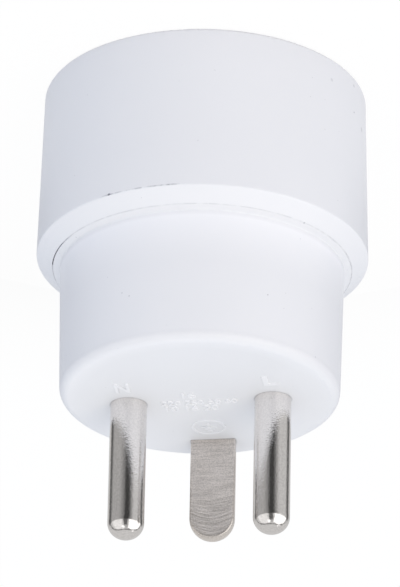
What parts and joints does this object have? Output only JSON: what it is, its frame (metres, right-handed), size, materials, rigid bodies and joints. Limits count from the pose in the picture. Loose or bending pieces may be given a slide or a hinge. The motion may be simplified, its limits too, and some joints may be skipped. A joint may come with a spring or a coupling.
{
  "type": "plug adapter",
  "caption": "Round white plug adapter: an earthed socket well on one side, a smaller round plug with line pins and a half-round earth pin on the other.",
  "frame": {"origin": "centre of the socket rim, on the surface that the adapter stands on", "axes": "+Z from the socket rim up along the plug pins; +X along the row of the two line pins; +Y from the line pins towards the earth pin"},
  "size_m": [0.0436, 0.0436, 0.0624],
  "materials": {
    "shell_white": "satin moulded, white",
    "insulator_grey": "moulded, light grey",
    "bright_nickel": "brass bar, bright nickel plate",
    "satin_nickel": "brass bar, milled, dull nickel plate",
    "contact_brass": "bare rolled strip",
    "plated_strip": "rolled strip, nickel plate",
    "spring_steel": "blued strip",
    "zinc_steel": "zinc plated"
  },
  "bodies": {
    "root": {"socket_housing": "shell_white", "plug_base": "shell_white", "insulator_plate": "insulator_grey", "line_pin_left": "bright_nickel", "line_pin_right": "bright_nickel", "earth_pin": "satin_nickel", "line_contact_left": "contact_brass", "line_contact_right": "contact_brass", "contact_spring_left": "spring_steel", "contact_spring_right": "spring_steel", "earth_strip": "plated_strip", "earth_riser": "contact_brass", "earth_rivet": "contact_brass", "housing_screws": "zinc_steel"}
  },
  "joints": []
}
